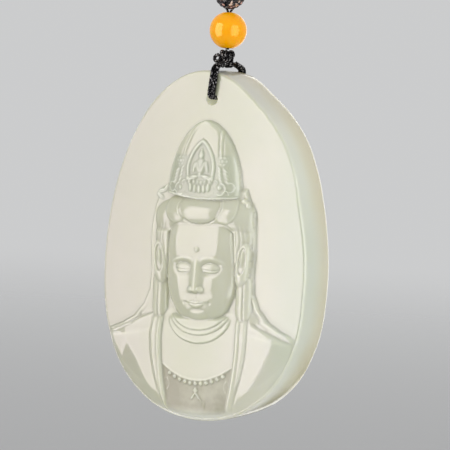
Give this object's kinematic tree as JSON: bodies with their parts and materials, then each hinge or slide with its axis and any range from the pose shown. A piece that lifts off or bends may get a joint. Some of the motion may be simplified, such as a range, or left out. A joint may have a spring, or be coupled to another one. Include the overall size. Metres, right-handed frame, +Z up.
{
  "type": "carved jade plaque pendant on a braided neck cord",
  "caption": "Egg-shaped pale jade plaque with a crowned figure in relief, hung by a black thread from a knot, a round amber-coloured bead and a braided neck cord.",
  "frame": {"origin": "inner side of the neck cord's highest point, where it lies on the nape", "axes": "+Z up along the hanging pendant, -Y out of the plaque's carved front, +X to the right seen from the front"},
  "size_m": [0.1222, 0.0124, 0.3447],
  "materials": {
    "jade": "polished pale green-white nephrite",
    "black_thread": "waxed black braided thread",
    "bead": "glossy honey-orange resin",
    "braid": "round braid of black and tan strands"
  },
  "bodies": {
    "cord_body": {"neck_cord": "braid", "bead_loop": "black_thread", "bead": "bead", "knot": "black_thread", "plaque_loop": "black_thread"},
    "plaque_body": {"plaque": "jade"}
  },
  "joints": [
    {"name": "plaque_swing", "type": "hinge", "parent": "cord_body", "child": "plaque_body", "pos_m": [0, 0, -0.29107], "axis": [0, 1, 0], "range_deg": [-15, 15]}
  ]
}
